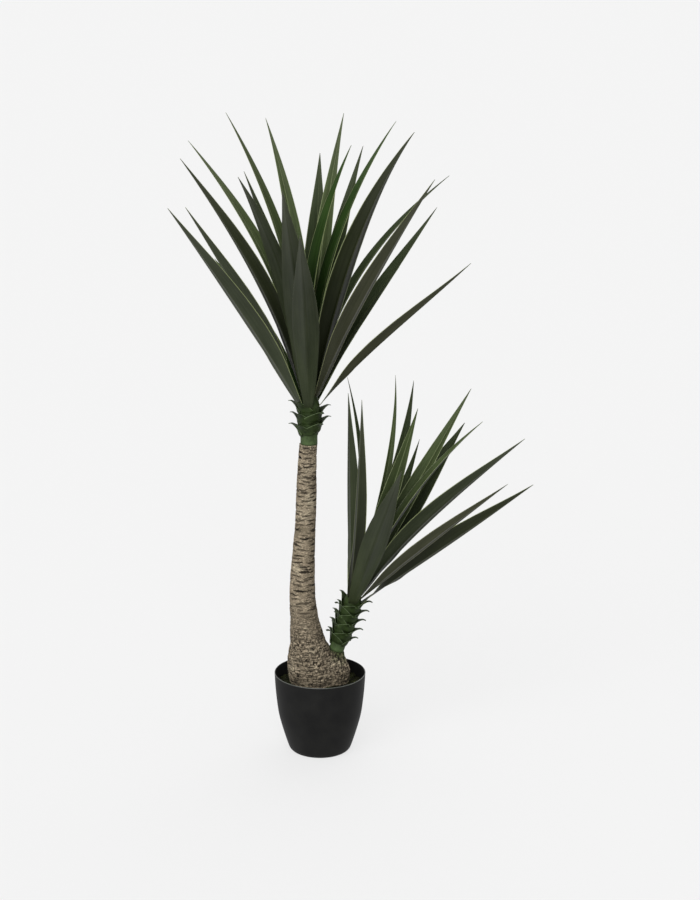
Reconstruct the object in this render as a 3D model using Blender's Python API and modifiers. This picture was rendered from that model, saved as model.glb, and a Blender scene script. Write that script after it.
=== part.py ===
"""An artificial yucca with two heads, in a plain black plastic pot.

A moulded trunk with a swollen foot stands on the hard filling of the pot and carries the
tall head. A short woody stub grows out of the same foot, on its right, and carries the lower
head, which leans to the right. Under each head is a green neck, clasped by the pointed scales
that are left of old leaves, and its core runs up between the leaves and holds them.

The origin is the middle of the pot's flat underside. +Z is up, +X is to the right of someone
who looks at the front of the plant, and +Y is away from them. Sizes are given in millimetres.
"""

from collections import namedtuple
from math import cos, pi, radians, sin

import bmesh
import bpy
from mathutils import Vector

MM = 0.001
CLEARANCE = 0.3

Ring = namedtuple("Ring", "height centre half_width half_depth")
Head = namedtuple("Head", "foot axis core_radius core_taper core_height")
Neck = namedtuple("Neck", "height outline first_scale last_scale scales first_angle turn")
Leaf = namedtuple("Leaf", "right back up seat width roll bow upright droop")

# The pot: radius and height of each point, down the outside and up the inside.
POT_OUTSIDE = (
    (106.5, 190.5),
    (104.0, 148.0),
    (99.5, 106.0),
    (96.0, 85.0),
    (91.0, 65.0),
    (85.0, 44.0),
    (76.5, 17.0),
    (72.0, 6.0),
    (67.0, 1.2),
    (62.0, 0.0),
)
POT_WALL = 2.6
POT_FLOOR = 3.6
POT_STEPS = 32

# The filling: flat under the trunk, and a little lower along the wall.
FILL_TOP = 166.0
FILL_EDGE_DROP = 5.0
FILL_FLAT_RADIUS = 84.0

# The trunk: its outline seen from the front, from the filling to the green neck.
TRUNK_FOOT = FILL_TOP + CLEARANCE
TRUNK_OUTLINE = (
    Ring(TRUNK_FOOT, -17.0, 53.5, 52.0),
    Ring(190.0, -17.8, 56.8, 54.0),
    Ring(215.0, -21.2, 55.5, 52.0),
    Ring(240.0, -25.5, 48.8, 47.5),
    Ring(262.0, -27.0, 43.2, 43.2),
    Ring(290.0, -32.0, 38.4, 38.4),
    Ring(323.0, -36.0, 33.8, 33.8),
    Ring(362.0, -40.0, 31.2, 31.2),
    Ring(421.0, -40.5, 28.9, 28.9),
    Ring(499.0, -36.8, 25.6, 25.6),
    Ring(558.0, -33.3, 24.2, 24.2),
    Ring(634.0, -30.8, 23.6, 23.6),
    Ring(680.0, -29.8, 22.0, 22.0),
    Ring(741.5, -26.6, 20.7, 20.7),
)
TRUNK_RINGS = 21
RING_SPREAD = 1.25
TRUNK_SIDES = 20

# The heads: where each core begins, its direction, and how it narrows as it rises.
MAIN_HEAD = Head(Vector((-25, 0, 832)), Vector((0, 0, 1)), 23.5, 0.21, 104)
SIDE_HEAD = Head(Vector((76, 0, 366)), Vector((0.31, -0.03, 1)).normalized(), 18.5, 0.25, 68)

# The necks, from the bark up to the foot of each head: the outline gives heights above the
# bark and radii there, and the scales climb the neck in a spiral, each a turn on from the last.
MAIN_NECK = Neck(
    MAIN_HEAD.foot.z - TRUNK_OUTLINE[-1].height - CLEARANCE,
    ((0.0, 19.4), (19.0, 19.4), (34.0, 24.0), (70.0, 24.5)),
    19.8,
    67.2,
    10,
    radians(-17),
    radians(72),
)
SIDE_NECK = Neck(
    127.0,
    ((0.0, 17.5), (16.0, 17.8), (40.0, 19.5), (100.0, 20.5)),
    12.7,
    103.0,
    20,
    radians(54),
    radians(-144),
)
NECK_STEPS = 24
SCALE_WIDTH = 38.0
SCALE_LENGTH = 24.0
SCALE_REACH = 23.0
SCALE_THICKNESS = 2.6
SCALE_SUNK = 2.0
SCALE_FOLD = radians(20)
SCALE_OUTLINE = ((0.0, 0.85), (0.3, 1.0), (0.52, 0.70), (0.75, 0.26), (1.0, 0.06))

# The side stub: half widths of its rings from the filling to the neck, and how far each ring
# has turned from level to the side head's own slant.
STUB_OUTLINE = (
    (Vector((40.0, 0, TRUNK_FOOT)), 28.5, 0.0),
    (Vector((41.0, 0, 182.0)), 29.3, 0.0),
    (Vector((41.3, 0, 198.0)), 29.0, 0.0),
    (Vector((41.0, 0.5, 210.0)), 26.8, 0.2),
    (Vector((40.2, 1.2, 221.0)), 23.5, 0.5),
    (Vector((39.0, 2.2, 232.0)), 20.2, 0.8),
)
STUB_TOP_RADIUS = 18.2
STUB_SIDES = 20

# A leaf blade: its half width and thickness along its length, as shares and in millimetres.
BLADE_OUTLINE = (
    (0.0, 0.30),
    (0.05, 0.44),
    (0.10, 0.57),
    (0.18, 0.74),
    (0.28, 0.91),
    (0.40, 1.0),
    (0.55, 0.90),
    (0.70, 0.65),
    (0.84, 0.35),
    (0.94, 0.14),
    (1.0, 0.03),
)
BLADE_THICKNESS = ((0.0, 5.2), (0.1, 6.6), (0.6, 6.6), (0.9, 4.5), (1.0, 1.2))
EDGE_THICKNESS = 0.35
BLADE_FOLD = radians(20)
ROLLED_FROM = 0.2
FOLDED_FROM = 0.25
BLADE_STATIONS = 10
STATION_SPREAD = 0.9
HANDLE = 0.34

# The leaves of the tall head. A row gives how far the tip reaches to the right, to the back
# and up from the foot of the head, how high on the core the leaf sits, its width, its roll in
# degrees, its sideways bow, and the shares of its lean by which it starts steeper and ends
# flatter than the straight line from its seat to its tip.
MAIN_LEAVES = (
    Leaf(-290, -260, 480, 2, 66, 8, 0, 0.10, 0.06),
    Leaf(-270, -20, 450, 16, 63, 34, 0, 0.08, 0.06),
    Leaf(-270, -150, 570, 37, 62, 14, 0, 0.44, 0.28),
    Leaf(-275, 180, 575, 38, 41, -8, 0, 0.88, 0.52),
    Leaf(-181, 20, 652, 56, 43, -24, 0, 0.97, 0.80),
    Leaf(-140, -350, 555, 24, 45, 22, 0, 0.66, 0.47),
    Leaf(-137, -120, 540, 47, 57, 0, -6, 0.45, 0.40),
    Leaf(-101, 270, 618, 82, 38, 0, -12, 0.44, 0.42),
    Leaf(25, 340, 530, 26, 62, 0, -3, 0.20, 0.20),
    Leaf(80, 260, 630, 58, 43, 12, 12, 0.15, 0.15),
    Leaf(94, 40, 579, 94, 63, 0, 24, 0.95, 0.80),
    Leaf(125, 260, 555, 38, 48, 0, 8, 0.12, 0.15),
    Leaf(195, 110, 625, 66, 46, 0, 12, 0.85, 0.75),
    Leaf(222, -180, 628, 36, 70, -10, 0, 0.37, 0.63),
    Leaf(265, -200, 532, 24, 63, -8, 0, 0.20, 0.12),
    Leaf(315, 100, 505, 28, 48, 0, 0, 0.79, 0.60),
    Leaf(297, 240, 415, 20, 52, 0, 0, 0.12, 0.03),
    Leaf(355, -60, 333, 2, 51, -26, 0, 0.13, 0.00),
    Leaf(-15, -440, 450, 0, 62, 0, 0, 0.34, 0.16),
    Leaf(-50, -410, 535, 14, 70, 0, 0, 0.25, 0.15),
    Leaf(-40, 430, 280, 0, 48, 0, 0, 0.34, 0.16),
    Leaf(70, 420, 340, 12, 50, 0, 0, 0.25, 0.16),
    Leaf(215, 335, 260, 2, 44, 0, 0, 0.25, 0.12),
    Leaf(-113, 330, 359, 17, 36, 0, 0, 0.34, 0.16),
    Leaf(-225, 300, 285, 2, 46, 0, 0, 0.15, 0.10),
)

# The leaves of the lower head, in the same way.
SIDE_LEAVES = (
    Leaf(-13, 100, 508, 14, 30, 0, 0, 0.80, 0.70),
    Leaf(-14, -100, 517, 24, 48, 15, 0, 0.10, 0.05),
    Leaf(13, -240, 535, 10, 50, -22, 3, 0.10, 0.05),
    Leaf(100, 160, 500, 43, 20, 0, -6, 0.85, 1.20),
    Leaf(146, 220, 473, 24, 38, 4, -22, 0.30, 0.20),
    Leaf(147, 32, 451, 60, 43, 0, -5, 0.60, 0.10),
    Leaf(167, 320, 304, 9, 34, 0, -12, -0.10, -0.10),
    Leaf(277, 150, 470, 34, 46, 0, 0, 0.05, 0.05),
    Leaf(267, 200, 375, 17, 72, 0, 0, 0.05, 0.05),
    Leaf(290, -30, 435, 42, 54, 10, 0, 0.60, 0.75),
    Leaf(378, -100, 413, 22, 59, -34, 0, 0.43, 0.18),
    Leaf(338, -150, 323, 13, 40, -30, 0, 0.10, 0.05),
    Leaf(411, 0, 279, 0, 71, -50, 0, 0.02, -0.03),
    Leaf(95, -340, 405, 0, 60, -4, 0, 0.12, 0.04),
    Leaf(10, 280, 255, 0, 46, 0, 0, 0.25, 0.10),
    Leaf(2, 120, 159, 6, 36, 0, 0, 0.20, 0.10),
)


def clear_scene():
    for old in list(bpy.data.objects):
        bpy.data.objects.remove(old, do_unlink=True)


def new_collection(name):
    collection = bpy.data.collections.new(name)
    bpy.context.scene.collection.children.link(collection)
    return collection


def new_material(name, colour, roughness, metallic=0.0):
    material = bpy.data.materials.new(name)
    material.use_nodes = True
    shader = material.node_tree.nodes["Principled BSDF"]
    shader.inputs["Base Color"].default_value = (*colour, 1.0)
    shader.inputs["Roughness"].default_value = roughness
    shader.inputs["Metallic"].default_value = metallic
    return material


def new_object(name, mesh, collection, material=None):
    thing = bpy.data.objects.new(name, mesh)
    collection.objects.link(thing)
    if material:
        mesh.materials.append(material)
    return thing


def share_at(table, along):
    """The value of a table of (along, value) pairs, straight between its points."""
    for (start, low), (end, high) in zip(table, table[1:]):
        if along <= end:
            return low + (high - low) * (along - start) / (end - start)
    return table[-1][1]


def loft(name, rings):
    """A closed mesh through rings of equally many points, each ring given in millimetres."""
    shape = bmesh.new()
    rows = [[shape.verts.new(point * MM) for point in ring] for ring in rings]
    for low, high in zip(rows, rows[1:]):
        for i, corner in enumerate(low):
            after = (i + 1) % len(low)
            shape.faces.new((corner, low[after], high[after], high[i]))
    shape.faces.new(reversed(rows[0]))
    shape.faces.new(rows[-1])
    bmesh.ops.recalc_face_normals(shape, faces=shape.faces[:])
    mesh = bpy.data.meshes.new(name)
    shape.to_mesh(mesh)
    shape.free()
    return mesh


def turned(name, profile, steps, collection, material):
    """A turned piece from a profile of (radius, height) that runs down its outer side."""
    mesh = bpy.data.meshes.new(name)
    points = [(radius * MM, 0.0, height * MM) for radius, height in profile]
    mesh.from_pydata(points, [(i, i + 1) for i in range(len(points) - 1)], [])
    thing = new_object(name, mesh, collection, material)
    screw = thing.modifiers.new("Turn", "SCREW")
    screw.steps = steps
    screw.render_steps = steps
    screw.use_merge_vertices = True
    screw.merge_threshold = 0.00001
    return thing


def smooth_rings(outline, count):
    """Rings on a smooth curve through those of an outline, closer together at the foot."""

    def slope(i):
        low = outline[max(i - 1, 0)]
        high = outline[min(i + 1, len(outline) - 1)]
        return [(b - a) / (high.height - low.height) for a, b in zip(low, high)]

    rings = []
    for step in range(count):
        share = step / (count - 1)
        height = outline[0].height + (outline[-1].height - outline[0].height) * share ** RING_SPREAD
        i = max(k for k, ring in enumerate(outline[:-1]) if ring.height <= height + 1e-6)
        low, high = outline[i], outline[i + 1]
        span = high.height - low.height
        t = (height - low.height) / span
        values = []
        for a, b, start, end in zip(low, high, slope(i), slope(i + 1)):
            values.append(
                a * (2 * t ** 3 - 3 * t ** 2 + 1)
                + b * (3 * t ** 2 - 2 * t ** 3)
                + start * span * (t ** 3 - 2 * t ** 2 + t)
                + end * span * (t ** 3 - t ** 2)
            )
        rings.append(Ring(*values))
    return rings


def trunk_mesh(name, grown=0.0):
    """The trunk's solid. A grown one is wider all round and starts a little lower."""
    rings = []
    levels = smooth_rings(TRUNK_OUTLINE, TRUNK_RINGS)
    for level in levels:
        height = level.height
        if level is levels[0]:
            height -= grown
        ring = []
        for k in range(TRUNK_SIDES):
            angle = 2 * pi * (k + 0.5) / TRUNK_SIDES
            ring.append(Vector((
                level.centre + (level.half_width + grown) * cos(angle),
                (level.half_depth + grown) * sin(angle),
                height,
            )))
        rings.append(ring)
    return loft(name, rings)


def stub_mesh(name):
    """The side stub: level on the filling, square to the side head's axis at the top."""
    level_axis = Vector((0, 0, 1))
    top = SIDE_HEAD.foot - SIDE_HEAD.axis * (SIDE_NECK.height + CLEARANCE)
    rings = []
    for centre, radius, turn in STUB_OUTLINE + ((top, STUB_TOP_RADIUS, 1.0),):
        axis = level_axis.lerp(SIDE_HEAD.axis, turn).normalized()
        across = Vector((0, 1, 0)).cross(axis).normalized()
        along = axis.cross(across)
        ring = []
        for k in range(STUB_SIDES):
            angle = 2 * pi * (k + 0.5) / STUB_SIDES
            ring.append(centre + (across * cos(angle) + along * sin(angle)) * radius)
        rings.append(ring)
    return loft(name, rings)


def curve_point(controls, t):
    """Place and direction on the curve of four control points."""
    a, b, c, d = controls
    place = a * (1 - t) ** 3 + b * 3 * (1 - t) ** 2 * t + c * 3 * (1 - t) * t ** 2 + d * t ** 3
    ahead = (b - a) * (1 - t) ** 2 + (c - b) * 2 * (1 - t) * t + (d - c) * t ** 2
    return place, ahead.normalized()


def blade_rings(controls, side, stations, half_width, half_thickness, fold, roll):
    """Six-sided rings of a blade that is folded along its middle, towards its inner face."""
    rings = []
    for t in stations:
        middle, ahead = curve_point(controls, t)
        across = (side - ahead * side.dot(ahead)).normalized()
        inward = ahead.cross(across)
        turned_by = roll * min(t / ROLLED_FROM, 1)
        wide = across * cos(turned_by) + inward * sin(turned_by)
        inner = inward * cos(turned_by) - across * sin(turned_by)
        bend = fold * min(t / FOLDED_FROM, 1)
        half = half_width(t)
        thick = half_thickness(t)
        thin = thick * EDGE_THICKNESS
        lift = inner * half * sin(bend)
        left = middle - wide * half * cos(bend) + lift
        right = middle + wide * half * cos(bend) + lift
        rings.append([
            middle - inner * thick,
            right - inner * thin,
            right + inner * thin,
            middle + inner * thick,
            left + inner * thin,
            left - inner * thin,
        ])
    return rings


def leaf_mesh(name, head, leaf):
    """One leaf: it starts steep beside the core and arches out to its tip."""
    tip = head.foot + Vector((leaf.right, leaf.back, leaf.up))
    seat = head.foot + head.axis * leaf.seat
    outward = tip - seat
    outward = (outward - head.axis * outward.dot(head.axis)).normalized()
    side = head.axis.cross(outward)
    core = head.core_radius - head.core_taper * leaf.seat
    lean = (tip - seat - outward * core).angle(head.axis)
    half_root = BLADE_THICKNESS[0][1] / 2 * cos(lean * (1 - leaf.upright))
    root = seat + outward * (core + CLEARANCE * 1.2 + half_root)
    reach = tip - root
    lean = reach.angle(head.axis)

    def direction(angle):
        return head.axis * cos(angle) + outward * sin(angle)

    handle = reach.length * HANDLE
    bow = side * leaf.bow
    controls = (
        root,
        root + direction(lean * (1 - leaf.upright)) * handle + bow,
        tip - direction(lean * (1 + leaf.droop)) * handle + bow,
        tip,
    )
    stations = [(i / (BLADE_STATIONS - 1)) ** STATION_SPREAD for i in range(BLADE_STATIONS)]
    rings = blade_rings(
        controls,
        side,
        stations,
        lambda t: leaf.width / 2 * share_at(BLADE_OUTLINE, t),
        lambda t: share_at(BLADE_THICKNESS, t) / 2,
        BLADE_FOLD,
        radians(leaf.roll),
    )
    return loft(name, rings)


def neck_profile(neck, head):
    """The turned outline of a neck and of the core above it, from its tip down."""
    core_tip = head.core_radius - head.core_taper * head.core_height
    return (
        (0.0, neck.height + head.core_height),
        (core_tip, neck.height + head.core_height),
        (head.core_radius, neck.height),
        *((radius, height) for height, radius in reversed(neck.outline)),
        (0.0, 0.0),
    )


def scale_mesh(name, radius, height, angle):
    """One clasping scale: it hugs the neck, then its point curls outwards."""
    outward = Vector((cos(angle), sin(angle), 0))
    up = Vector((0, 0, 1))
    side = up.cross(outward)
    root = outward * (radius - SCALE_SUNK) + up * height
    tip = root + outward * SCALE_REACH + up * SCALE_LENGTH
    controls = (
        root,
        root + (up * 0.95 + outward * 0.30) * SCALE_LENGTH,
        tip - (outward * 0.96 - up * 0.12) * SCALE_REACH * 0.55,
        tip,
    )
    rings = blade_rings(
        controls,
        side,
        [pair[0] for pair in SCALE_OUTLINE],
        lambda t: SCALE_WIDTH / 2 * share_at(SCALE_OUTLINE, t),
        lambda t: SCALE_THICKNESS / 2 * (1 - 0.4 * t),
        SCALE_FOLD,
        0.0,
    )
    return loft(name, rings)


def fill_pockets(mesh):
    """Keep the outer skin alone, so that pockets shut in between scales are solid."""
    shape = bmesh.new()
    shape.from_mesh(mesh)
    skins = []
    unseen = set(shape.verts)
    while unseen:
        skin = {unseen.pop()}
        edge_of_skin = list(skin)
        while edge_of_skin:
            corner = edge_of_skin.pop()
            for edge in corner.link_edges:
                other = edge.other_vert(corner)
                if other in unseen:
                    unseen.remove(other)
                    skin.add(other)
                    edge_of_skin.append(other)
        skins.append(skin)
    outer = max(skins, key=lambda skin: max(corner.co.z for corner in skin))
    inner = [corner for skin in skins if skin is not outer for corner in skin]
    bmesh.ops.delete(shape, geom=inner, context="VERTS")
    shape.to_mesh(mesh)
    shape.free()


def neck_object(name, neck, head, collection, material):
    """A neck with its scales joined to it in one Boolean union."""
    piece = turned(name, neck_profile(neck, head), NECK_STEPS, collection, material)
    scales = new_collection(name + "_scales")
    for k in range(neck.scales):
        along = k / (neck.scales - 1)
        height = neck.first_scale + (neck.last_scale - neck.first_scale) * along
        radius = share_at(neck.outline, height)
        mesh = scale_mesh("scale", radius, height, neck.first_angle + neck.turn * k)
        scale = new_object("scale", mesh, scales)
        scale.hide_render = True
        scale.display_type = "WIRE"
    union = piece.modifiers.new("Scales", "BOOLEAN")
    union.operation = "UNION"
    union.operand_type = "COLLECTION"
    union.collection = scales
    union.solver = "MANIFOLD"
    graph = bpy.context.evaluated_depsgraph_get()
    joined = bpy.data.meshes.new_from_object(piece.evaluated_get(graph))
    fill_pockets(joined)
    piece.modifiers.clear()
    piece.data = joined
    for scale in list(scales.objects):
        bpy.data.objects.remove(scale, do_unlink=True)
    bpy.data.collections.remove(scales)
    piece.rotation_mode = "QUATERNION"
    piece.rotation_quaternion = head.axis.to_track_quat("Z", "Y")
    piece.location = (head.foot - head.axis * neck.height) * MM
    return piece


def smooth(thing, sharp_from=40):
    thing.data.shade_smooth()
    thing.data.set_sharp_from_angle(angle=radians(sharp_from))


def main():
    clear_scene()
    plant = new_collection("yucca")
    cutters = new_collection("cutters")
    black_plastic = new_material("black pot plastic", (0.018, 0.018, 0.018), 0.55)
    dark_moss = new_material("mossy filling", (0.030, 0.032, 0.016), 0.95)
    bark = new_material("moulded bark", (0.30, 0.24, 0.18), 0.85)
    green_neck = new_material("green neck plastic", (0.050, 0.090, 0.030), 0.60)
    leaf_cloth = new_material("leaf fabric", (0.040, 0.060, 0.025), 0.55)

    inside = [(max(radius - POT_WALL, 0), height) for radius, height in POT_OUTSIDE]
    inside = [(radius, height) for radius, height in inside if height > POT_FLOOR]
    inside.append((inside[-1][0] - 4.0, POT_FLOOR))
    pot_profile = ((0.0, POT_FLOOR), *reversed(inside), *POT_OUTSIDE, (0.0, 0.0))
    pot = turned("pot", pot_profile, POT_STEPS, plant, black_plastic)
    smooth(pot)

    edge_height = FILL_TOP - FILL_EDGE_DROP
    gap = CLEARANCE * 1.5
    below = [(radius - gap, height) for radius, height in inside if height < edge_height]
    floor = POT_FLOOR + CLEARANCE
    below[-1] = (below[-1][0], floor)
    wall_radius = share_at(
        [(height, radius) for radius, height in reversed(inside)],
        edge_height,
    )
    fill_profile = (
        (0.0, FILL_TOP),
        (FILL_FLAT_RADIUS, FILL_TOP),
        (wall_radius - gap, edge_height),
        *below,
        (0.0, floor),
    )
    fill = turned("pot_fill", fill_profile, POT_STEPS, plant, dark_moss)
    smooth(fill)

    trunk = new_object("trunk", trunk_mesh("trunk"), plant, bark)
    smooth(trunk)

    around_trunk = new_object("trunk_clearance", trunk_mesh("clearance", CLEARANCE), cutters)
    around_trunk.hide_render = True
    around_trunk.display_type = "WIRE"
    stub = new_object("side_stub", stub_mesh("side_stub"), plant, bark)
    fitted = stub.modifiers.new("Beside the trunk", "BOOLEAN")
    fitted.operation = "DIFFERENCE"
    fitted.object = around_trunk
    smooth(stub)

    neck_object("main_neck", MAIN_NECK, MAIN_HEAD, plant, green_neck)
    neck_object("side_neck", SIDE_NECK, SIDE_HEAD, plant, green_neck)

    for prefix, head, leaves in (
        ("main_leaf", MAIN_HEAD, MAIN_LEAVES),
        ("side_leaf", SIDE_HEAD, SIDE_LEAVES),
    ):
        for number, leaf in enumerate(leaves, 1):
            name = f"{prefix}_{number:02d}"
            new_object(name, leaf_mesh(name, head, leaf), plant, leaf_cloth)


main()
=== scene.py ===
"""The looks of an artificial yucca with two heads, in a plain black plastic pot.

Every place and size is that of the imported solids. This script dresses them: a turned pot, a
mossy filling, a trunk and a stub with cracked bark, two green necks with clasping scales, and
one thin folded blade for each leaf.
"""

from collections import namedtuple
from math import cos, floor, pi, radians, sin

import bmesh
import bpy
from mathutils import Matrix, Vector, noise


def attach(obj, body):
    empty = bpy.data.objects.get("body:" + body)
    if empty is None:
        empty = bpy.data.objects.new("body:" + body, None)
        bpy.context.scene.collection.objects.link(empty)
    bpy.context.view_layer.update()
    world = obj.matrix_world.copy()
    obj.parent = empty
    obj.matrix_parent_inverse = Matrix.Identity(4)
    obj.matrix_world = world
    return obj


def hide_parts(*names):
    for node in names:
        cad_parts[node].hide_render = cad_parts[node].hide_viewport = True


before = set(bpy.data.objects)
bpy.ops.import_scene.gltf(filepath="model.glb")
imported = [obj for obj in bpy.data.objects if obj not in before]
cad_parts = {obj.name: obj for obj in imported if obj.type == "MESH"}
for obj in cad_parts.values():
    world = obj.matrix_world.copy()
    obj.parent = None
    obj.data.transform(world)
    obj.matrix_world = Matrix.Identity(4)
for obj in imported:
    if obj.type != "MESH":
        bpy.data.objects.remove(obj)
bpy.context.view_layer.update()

# The studio
# A wide pale floor and a far wall, under an even sky, with a broad soft lamp high at the front
# and a weaker one behind. Floor and wall glow, so that shadows stay faint, but throw no light on
# the plant. The camera looks a little down on it, as in the photograph.

MM = 0.001
FLOOR_RADIUS = 90.0
WALL_RADIUS = 85.0
WALL_HEIGHT = 45.0
WALL_SUNK = 0.01
STUDIO_SIDES = 64
SKY_STRENGTH = 0.58
FLOOR_GLOW = 0.700
WALL_GLOW = 0.905
CAMERA_PLACE = (0.0, -4.25, 1.8475)
CAMERA_TILT = radians(14.767)
LENS_TO_FRAME_HEIGHT = 1934 / 900
FRAME_SHIFT = 30 / 900


def tone(code):
    """An sRGB hex colour as linear values."""
    channels = [int(code[i:i + 2], 16) / 255 for i in (1, 3, 5)]
    linear = [c / 12.92 if c <= 0.04045 else ((c + 0.055) / 1.055) ** 2.4 for c in channels]
    return (*linear, 1.0)


def add(tree, kind, inputs=None, stops=None, **settings):
    """A node with its settings and links. An input takes a value or another node's socket.

    The stops of a colour ramp are pairs of a place from 0 to 1 and a hex colour or a grey.
    """
    node = tree.nodes.new(kind)
    for name, value in settings.items():
        setattr(node, name, value)
    for key, value in (inputs or {}).items():
        if isinstance(value, bpy.types.NodeSocket):
            tree.links.new(value, node.inputs[key])
        else:
            node.inputs[key].default_value = value
    if stops:
        ramp = node.color_ramp
        while len(ramp.elements) < len(stops):
            ramp.elements.new(0.5)
        for element, (position, colour) in zip(ramp.elements, stops):
            element.position = position
            element.color = tone(colour) if isinstance(colour, str) else (colour,) * 3 + (1,)
    return node


def new_material(name):
    """An empty material, with the tree that its nodes go in."""
    material = bpy.data.materials.new(name)
    material.use_nodes = True
    material.node_tree.nodes.clear()
    return material, material.node_tree


def finish_material(tree, inputs):
    """The surface shader, with its inputs, joined to the material's output."""
    shader = add(tree, "ShaderNodeBsdfPrincipled", inputs)
    add(tree, "ShaderNodeOutputMaterial", {"Surface": shader.outputs["BSDF"]})


def set_stage(name, shape, material):
    """A part of the studio, which is seen but throws no light on the plant."""
    mesh = bpy.data.meshes.new(name)
    shape.to_mesh(mesh)
    shape.free()
    mesh.materials.append(material)
    backdrop = bpy.data.objects.new(name, mesh)
    scene.collection.objects.link(backdrop)
    backdrop.visible_diffuse = False
    backdrop.visible_glossy = False
    return backdrop


scene = bpy.context.scene
scene.view_settings.view_transform = "Standard"

world = bpy.data.worlds.new("studio sky")
world.use_nodes = True
world.node_tree.nodes["Background"].inputs["Color"].default_value = tone("#ffffff")
world.node_tree.nodes["Background"].inputs["Strength"].default_value = SKY_STRENGTH
scene.world = world

for name, strength, tilt, turn, spread in (
    ("front lamp", 2.45, radians(56), radians(-20), radians(60)),
    ("back lamp", 1.1, radians(40), radians(160), radians(60)),
):
    lamp_data = bpy.data.lights.new(name, "SUN")
    lamp_data.energy = strength
    lamp_data.angle = spread
    lamp = bpy.data.objects.new(name, lamp_data)
    lamp.rotation_euler = (tilt, 0, turn)
    scene.collection.objects.link(lamp)

# Pale studio paper: matt and even.
paper, tree = new_material("pale studio paper")
finish_material(tree, {
    "Base Color": tone("#707070"),
    "Roughness": 0.9,
    "Specular IOR Level": 0.0,
    "Emission Color": tone("#ffffff"),
    "Emission Strength": FLOOR_GLOW,
})

shape = bmesh.new()
bmesh.ops.create_circle(shape, cap_ends=True, segments=STUDIO_SIDES, radius=FLOOR_RADIUS)
set_stage("studio floor", shape, paper)

# Pale studio wall: even, and as bright as the far floor.
lit_paper, tree = new_material("pale studio wall")
finish_material(tree, {
    "Base Color": tone("#000000"),
    "Specular IOR Level": 0.0,
    "Emission Color": tone("#ffffff"),
    "Emission Strength": WALL_GLOW,
})

shape = bmesh.new()
bmesh.ops.create_cone(shape, segments=STUDIO_SIDES, radius1=WALL_RADIUS, radius2=WALL_RADIUS,
                      depth=WALL_HEIGHT)
studio_wall = set_stage("studio wall", shape, lit_paper)
studio_wall.location.z = WALL_HEIGHT / 2 - WALL_SUNK
studio_wall.visible_shadow = False

camera_data = bpy.data.cameras.new("camera")
camera_data.sensor_fit = "VERTICAL"
camera_data.sensor_height = 24.0
camera_data.lens = camera_data.sensor_height * LENS_TO_FRAME_HEIGHT
camera_data.shift_x = FRAME_SHIFT
camera_data.clip_end = 2 * FLOOR_RADIUS
camera = bpy.data.objects.new("camera", camera_data)
camera.location = CAMERA_PLACE
camera.rotation_euler = (radians(90) - CAMERA_TILT, 0, 0)
scene.collection.objects.link(camera)
scene.camera = camera

# The pot
# A round nursery pot, injection moulded from black polypropylene with a thin rounded rim. It
# stands on its flat underside, and the filling is set inside it.

POT_OUTSIDE = (
    (62.0, 0.0),
    (67.0, 1.2),
    (72.0, 6.0),
    (76.5, 17.0),
    (85.0, 44.0),
    (91.0, 65.0),
    (96.0, 85.0),
    (99.5, 106.0),
    (104.0, 148.0),
    (106.5, 190.5),
)
POT_WALL = 2.6
POT_FLOOR = 3.6
POT_CORNER_WIDTH = 4.0
POT_CORNER_HEIGHT = 1.5
POT_CUTS = 5
POT_SIDES = 160
RIM_STEPS = 8


def rounded(points, cuts):
    """A smooth line through points, with as many cuts between each two of them."""
    line = []
    for i in range(len(points) - 1):
        before = points[max(i - 1, 0)]
        a, b = points[i], points[i + 1]
        after = points[min(i + 2, len(points) - 1)]
        for k in range(cuts):
            t = k / cuts
            line.append(tuple(
                0.5 * (2 * q + (r - p) * t + (2 * p - 5 * q + 4 * r - s) * t * t
                       + (3 * q - p - 3 * r + s) * t ** 3)
                for p, q, r, s in zip(before, a, b, after)
            ))
    line.append(points[-1])
    return line


def turned_mesh(name, profile, sides):
    """A closed turned mesh. The profile runs in millimetres from the axis to the axis."""
    mesh = bpy.data.meshes.new(name)
    shape = bmesh.new()
    rows = []
    for radius, height in profile:
        if radius == 0:
            rows.append([shape.verts.new((0, 0, height * MM))] * sides)
            continue
        rows.append([
            shape.verts.new((radius * MM * cos(2 * pi * k / sides),
                             radius * MM * sin(2 * pi * k / sides), height * MM))
            for k in range(sides)
        ])
    for low, high in zip(rows, rows[1:]):
        for k in range(sides):
            after = (k + 1) % sides
            corners = []
            for corner in (low[k], low[after], high[after], high[k]):
                if corner not in corners:
                    corners.append(corner)
            shape.faces.new(corners).smooth = True
    bmesh.ops.recalc_face_normals(shape, faces=shape.faces[:])
    shape.to_mesh(mesh)
    shape.free()
    return mesh


def dress(name, mesh, nodes, slot, *materials):
    """A finished piece that stands for CAD nodes and rides with the plant."""
    for material in materials:
        mesh.materials.append(material)
    piece = bpy.data.objects.new(name, mesh)
    scene.collection.objects.link(piece)
    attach(piece, "root")
    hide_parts(*nodes)


def to_a_metre(size):
    """A pattern's scale: how many of its cells, so many millimetres wide, make a metre."""
    return 1 / (size * MM)


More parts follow.
